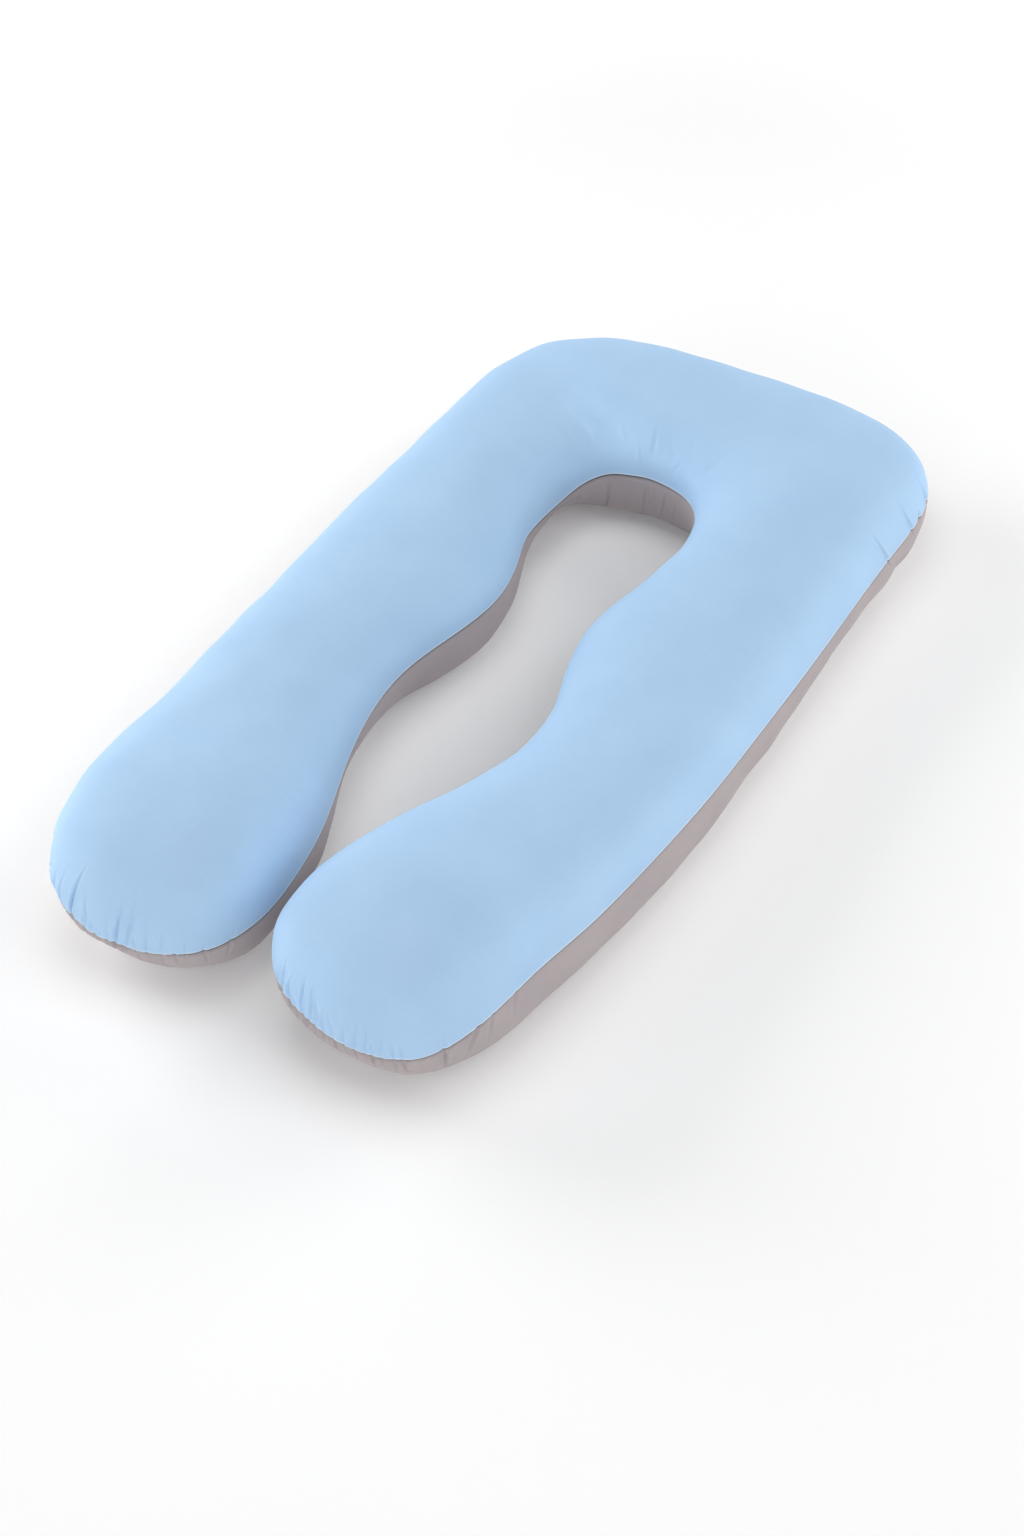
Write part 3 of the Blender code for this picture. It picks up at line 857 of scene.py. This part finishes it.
def mapped(tree, value, low, high, least, most):
    """A value brought smoothly from one range to another."""
    node = tree.nodes.new("ShaderNodeMapRange")
    node.interpolation_type = "SMOOTHSTEP"
    tree.links.new(value, node.inputs["Value"])
    for name, number in (
        ("From Min", low), ("From Max", high), ("To Min", least), ("To Max", most),
    ):
        node.inputs[name].default_value = number
    return node.outputs["Result"]


def noise(tree, place, stretch, detail):
    """Even noise from 0 to 1, at so many waves a metre in each direction."""
    scaled = tree.nodes.new("ShaderNodeVectorMath")
    scaled.operation = "MULTIPLY"
    scaled.inputs[1].default_value = stretch
    tree.links.new(place, scaled.inputs[0])
    node = tree.nodes.new("ShaderNodeTexNoise")
    node.inputs["Scale"].default_value = 1.0
    node.inputs["Detail"].default_value = detail
    tree.links.new(scaled.outputs["Vector"], node.inputs["Vector"])
    return node.outputs["Fac"]


def new_group(name, inputs, outputs):
    """An empty shader node group with the named sockets, and its input and output nodes."""
    group = bpy.data.node_groups.new(name, "ShaderNodeTree")
    for direction, sockets in (("INPUT", inputs), ("OUTPUT", outputs)):
        for socket, kind in sockets:
            group.interface.new_socket(socket, in_out=direction, socket_type=kind)
    return group, group.nodes.new("NodeGroupInput"), group.nodes.new("NodeGroupOutput")


def weave_group():
    """A plain weave: how high the threads stand at a place on the cloth, from 0 to 1."""
    group, given, result = new_group(
        "plain_weave",
        [("Place", "NodeSocketVector"), ("Pitch", "NodeSocketFloat")],
        [("Height", "NodeSocketFloat")],
    )
    parts = group.nodes.new("ShaderNodeSeparateXYZ")
    group.links.new(given.outputs["Place"], parts.inputs["Vector"])
    threads, offsets = [], []
    for axis in ("X", "Y"):
        waves = (WANDER_WAVES, WANDER_WAVES, 0.0)
        drift = noise(group, given.outputs["Place"], waves, 1.0)
        thread = computed(group, "DIVIDE", parts.outputs[axis], given.outputs["Pitch"])
        thread = computed(group, "MULTIPLY_ADD", drift, THREAD_WANDER, thread)
        threads.append(computed(group, "FLOOR", thread))
        offsets.append(computed(group, "SUBTRACT", computed(group, "FRACT", thread), 0.5))
    odd = computed(group, "ADD", *threads)
    odd = computed(group, "FLOORED_MODULO", odd, 2.0)
    heights = []
    for across, along in (offsets, offsets[::-1]):
        round_side = computed(group, "MULTIPLY", across, across)
        round_side = computed(group, "MULTIPLY_ADD", round_side, -THREAD_ROUNDNESS, 1.0)
        arch = computed(group, "COSINE", computed(group, "MULTIPLY", along, math.pi))
        heights.append(computed(group, "MULTIPLY", round_side, arch))
    over = computed(group, "MULTIPLY", heights[0], odd)
    under = computed(group, "MULTIPLY", heights[1], computed(group, "SUBTRACT", 1.0, odd))
    group.links.new(computed(group, "ADD", over, under), result.inputs["Height"])
    return group


def yarn_group():
    """Uneven yarn: a tone from 0 to 1, streaked along both threads and slowly clouded."""
    group, given, result = new_group(
        "yarn_tone", [("Place", "NodeSocketVector")], [("Tone", "NodeSocketFloat")]
    )
    place = given.outputs["Place"]
    clouds = noise(group, place, (CLOUD_WAVES,) * 3, 2.0)
    warp = noise(group, place, (STREAK_WAVES_ACROSS, STREAK_WAVES, 0.0), 1.0)
    weft = noise(group, place, (STREAK_WAVES, STREAK_WAVES_ACROSS, 0.0), 1.0)
    tone = computed(group, "MULTIPLY", computed(group, "ADD", warp, weft), STREAK_SHARE)
    tone = computed(group, "MULTIPLY_ADD", clouds, CLOUD_SHARE, tone)
    group.links.new(mapped(group, tone, *TONE_RANGE, 0.0, 1.0), result.inputs["Tone"])
    return group


def seam_group():
    """Masks of painted light beside the seam: painted shade down in its groove, and a painted lip
    over the hem.
    """
    group, given, result = new_group(
        "seam_painted_light",
        [("Seam Place", "NodeSocketVector"), ("Shade Width", "NodeSocketFloat")],
        [("Shade", "NodeSocketFloat"), ("Painted Lip", "NodeSocketFloat")],
    )
    parts = group.nodes.new("ShaderNodeSeparateXYZ")
    group.links.new(given.outputs["Seam Place"], parts.inputs["Vector"])
    from_seam = parts.outputs["Y"]
    share = computed(group, "DIVIDE", from_seam, given.outputs["Shade Width"])
    group.links.new(mapped(group, share, SHADE_START, 1.0, 1.0, 0.0), result.inputs["Shade"])
    # the painted lip over the hem: a painted highlight on the blue cloth, painted shade on the grey
    # one
    rise = mapped(group, from_seam, *PAINTED_LIP_START, 0.0, 1.0)
    fall = mapped(group, from_seam, *PAINTED_LIP_END, 1.0, 0.0)
    group.links.new(computed(group, "MULTIPLY", rise, fall), result.inputs["Painted Lip"])
    return group


def mixed(tree, share, first, second):
    """Two colours mixed by a share."""
    node = tree.nodes.new("ShaderNodeMix")
    node.data_type = "RGBA"
    for name, value in (("Factor", share), ("A", first), ("B", second)):
        feed(tree, node.inputs[name], value)
    return node.outputs["Result"]


def woven_cloth(name, pale, deep, painted_lip, shade, shade_width, pitch):
    """Matt woven cloth: weave, uneven yarn, a soft nap, and light and shade painted beside the
    seam.
    """
    material = bpy.data.materials.new(name)
    material.use_nodes = True
    tree = material.node_tree
    surface = tree.nodes["Principled BSDF"]
    surface.inputs["Sheen Weight"].default_value = 0.25
    surface.inputs["Sheen Roughness"].default_value = 0.45
    surface.inputs["Sheen Tint"].default_value = (*pale[:3], 1)
    surface.inputs["Specular IOR Level"].default_value = 0.25
    made = {}
    for group, layer, socket in (
        ("weave", "pattern", "Place"),
        ("yarn", "pattern", "Place"),
        ("seam", "seam_place", "Seam Place"),
    ):
        place = tree.nodes.new("ShaderNodeUVMap")
        place.uv_map = layer
        made[group] = tree.nodes.new("ShaderNodeGroup")
        made[group].node_tree = CLOTH_GROUPS[group]
        tree.links.new(place.outputs["UV"], made[group].inputs[socket])
    made["weave"].inputs["Pitch"].default_value = pitch
    made["seam"].inputs["Shade Width"].default_value = shade_width
    tone = made["yarn"].outputs["Tone"]
    height = made["weave"].outputs["Height"]
    colour = mixed(tree, tone, deep, pale)
    colour = mixed(tree, made["seam"].outputs["Painted Lip"], colour, painted_lip)
    colour = mixed(tree, made["seam"].outputs["Shade"], colour, shade)
    tree.links.new(colour, surface.inputs["Base Color"])
    roughness = mapped(tree, tone, 0.0, 1.0, *CLOTH_ROUGHNESS)
    tree.links.new(roughness, surface.inputs["Roughness"])
    place = tree.nodes.new("ShaderNodeTexCoord").outputs["Object"]
    crinkle = noise(tree, place, (CRINKLE_WAVES,) * 3, 2.0)
    slack = tree.nodes.new("ShaderNodeBump")
    slack.inputs["Strength"].default_value = CRINKLE_STRENGTH
    slack.inputs["Distance"].default_value = CRINKLE_HEIGHT
    tree.links.new(crinkle, slack.inputs["Height"])
    threads = tree.nodes.new("ShaderNodeBump")
    threads.inputs["Strength"].default_value = THREAD_STRENGTH
    threads.inputs["Distance"].default_value = THREAD_HEIGHT
    tree.links.new(height, threads.inputs["Height"])
    tree.links.new(slack.outputs["Normal"], threads.inputs["Normal"])
    tree.links.new(threads.outputs["Normal"], surface.inputs["Normal"])
    return material


# ---------------------------------------------------------------- floor, light and camera

CAMERA_AZIMUTH = 37.954
CAMERA_ELEVATION = 44.983
CAMERA_ROLL = -8.332
CAMERA_DISTANCE = 3.6501
CAMERA_AIM = (0.1106, -0.1667, 0.080)
CAMERA_LENS = 61.12  # mm
CAMERA_SENSOR = 36.0  # mm, along the picture's long side
CAMERA_NEAREST = 0.05
CAMERA_FARTHEST = 60.0

FLOOR_HALF = 30.0  # from the floor's middle to its sides
FLOOR_GLOW = 0.09  # the floor's own light beside the pillow, and far from it
FAR_GLOW = 1.00
NEAR_FLOOR = 1.5  # from the pillow's middle, where that light starts to rise
FAR_FLOOR = 3.8
ROOM_HEIGHTS = (0.12, 0.45)  # sine of the height in the sky between which the room darkens
ROOM_BRIGHTNESS = (1.00, 0.06)  # below that and above it
LAMP_DISTANCE = 4.0
LAMP_SIZE = 2.6
LAMP_NAMES = ("name", "azimuth", "elevation", "power")
LAMPS = (
    ("left_softbox", 180, 22, 122),
    ("back_softbox", 60, 22, 66),
    ("right_softbox", 0, 45, 42),
    ("front_left_softbox", 240, 22, 32),
    ("front_right_softbox", 300, 22, 26),
    ("overhead_softbox", 0, 90, 42),
)


def add_floor():
    """A wide pale floor, lit a little from below, and more so far out."""
    half = FLOOR_HALF
    mesh = bpy.data.meshes.new("floor")
    corners = [(-half, -half, 0), (half, -half, 0), (half, half, 0), (-half, half, 0)]
    mesh.from_pydata(corners, [], [(0, 1, 2, 3)])
    floor = bpy.data.objects.new("floor", mesh)
    bpy.context.scene.collection.objects.link(floor)
    material = bpy.data.materials.new("pale_floor")
    material.use_nodes = True
    tree = material.node_tree
    surface = tree.nodes["Principled BSDF"]
    surface.inputs["Base Color"].default_value = (0.90, 0.90, 0.90, 1)
    surface.inputs["Roughness"].default_value = 0.9
    surface.inputs["Specular IOR Level"].default_value = 0.1
    surface.inputs["Emission Color"].default_value = (1, 1, 1, 1)
    away = tree.nodes.new("ShaderNodeVectorMath")
    away.operation = "LENGTH"
    place = tree.nodes.new("ShaderNodeTexCoord")
    tree.links.new(place.outputs["Object"], away.inputs[0])
    glow = mapped(tree, away.outputs["Value"], NEAR_FLOOR, FAR_FLOOR, FLOOR_GLOW, FAR_GLOW)
    tree.links.new(glow, surface.inputs["Emission Strength"])
    mesh.materials.append(material)


def add_light():
    """A room that is bright low down, and soft lamps round the pillow."""
    world = bpy.data.worlds.new("pale_room")
    world.use_nodes = True
    tree = world.node_tree
    background = tree.nodes["Background"]
    background.inputs["Color"].default_value = (1.0, 1.0, 1.0, 1)
    way = tree.nodes.new("ShaderNodeTexCoord")
    parts = tree.nodes.new("ShaderNodeSeparateXYZ")
    tree.links.new(way.outputs["Generated"], parts.inputs["Vector"])
    bright = mapped(tree, parts.outputs["Z"], *ROOM_HEIGHTS, *ROOM_BRIGHTNESS)
    tree.links.new(bright, background.inputs["Strength"])
    bpy.context.scene.world = world
    for row in named_rows(LAMP_NAMES, LAMPS):
        lamp = bpy.data.lights.new(row["name"], "AREA")
        lamp.shape = "SQUARE"
        lamp.size = LAMP_SIZE
        lamp.energy = row["power"]
        holder = bpy.data.objects.new(row["name"], lamp)
        turn, rise = math.radians(row["azimuth"]), math.radians(row["elevation"])
        way = Vector(
            (math.cos(turn) * math.cos(rise), math.sin(turn) * math.cos(rise), math.sin(rise))
        )
        holder.location = way * LAMP_DISTANCE
        holder.rotation_mode = "QUATERNION"
        holder.rotation_quaternion = (-way).to_track_quat("-Z", "Y")
        holder.visible_camera = False
        bpy.context.scene.collection.objects.link(holder)
    bpy.context.scene.view_settings.view_transform = "Standard"


def add_camera():
    """The photo's viewpoint."""
    azimuth, elevation, roll = map(
        math.radians, (CAMERA_AZIMUTH, CAMERA_ELEVATION, CAMERA_ROLL)
    )
    back = np.array(
        [
            math.sin(azimuth) * math.cos(elevation),
            -math.cos(azimuth) * math.cos(elevation),
            math.sin(elevation),
        ]
    )
    level = np.array([math.cos(azimuth), math.sin(azimuth), 0])
    upright = np.cross(back, level)
    right = math.cos(roll) * level + math.sin(roll) * upright
    up = -math.sin(roll) * level + math.cos(roll) * upright
    place = np.array(CAMERA_AIM) + back * CAMERA_DISTANCE
    data = bpy.data.cameras.new("photo_camera")
    data.sensor_width = CAMERA_SENSOR
    data.lens = CAMERA_LENS
    data.clip_start, data.clip_end = CAMERA_NEAREST, CAMERA_FARTHEST
    camera = bpy.data.objects.new("photo_camera", data)
    turn = np.eye(4)
    turn[:3, 0], turn[:3, 1], turn[:3, 2], turn[:3, 3] = right, up, back, place
    camera.matrix_world = Matrix(turn.tolist())
    bpy.context.scene.collection.objects.link(camera)
    bpy.context.scene.camera = camera


add_camera()
add_floor()
add_light()

patches = seam_columns()
creases = placed(CREASE_NAMES, SEAM_CREASES, patches)
blue_grids = cover_grids(patches, True, creases, placed(FOLD_NAMES, BLUE_FOLDS, patches))
grey_grids = cover_grids(patches, False, creases, placed(FOLD_NAMES, GREY_FOLDS, patches))
settle(patches, blue_grids, grey_grids)
finish_grids(patches, blue_grids, True)
finish_grids(patches, grey_grids, False)
blue_cover = make_cover("blue_cover", blue_grids, True)
grey_cover = make_cover("grey_cover", grey_grids, False)
CLOTH_GROUPS = {"weave": weave_group(), "yarn": yarn_group(), "seam": seam_group()}
light_blue_cloth = woven_cloth(
    "light_blue_cloth",
    pale=(0.412, 0.598, 0.815, 1),
    deep=(0.384, 0.567, 0.790, 1),
    # painted highlight on the lip over the hem
    painted_lip=(0.740, 0.860, 0.950, 1),
    # painted shade down in the seam's groove
    shade=(0.160, 0.230, 0.320, 1),
    shade_width=0.0012,
    pitch=THREAD_PITCH,
)
warm_grey_cloth = woven_cloth(
    "warm_grey_cloth",
    pale=(0.425, 0.378, 0.382, 1),
    deep=(0.381, 0.341, 0.351, 1),
    # painted shade on the lip just below the seam
    painted_lip=(0.345, 0.308, 0.317, 1),
    # painted shade down in the seam's groove
    shade=(0.080, 0.078, 0.090, 1),
    shade_width=0.0034,
    pitch=THREAD_PITCH,
)
blue_cover.data.materials.append(light_blue_cloth)
grey_cover.data.materials.append(warm_grey_cloth)
for cover, node, slot in (
    (blue_cover, "top_panel", "blue_cloth"),
    (grey_cover, "bottom_panel", "grey_cloth"),
):
    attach(cover, "root")
    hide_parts(node)
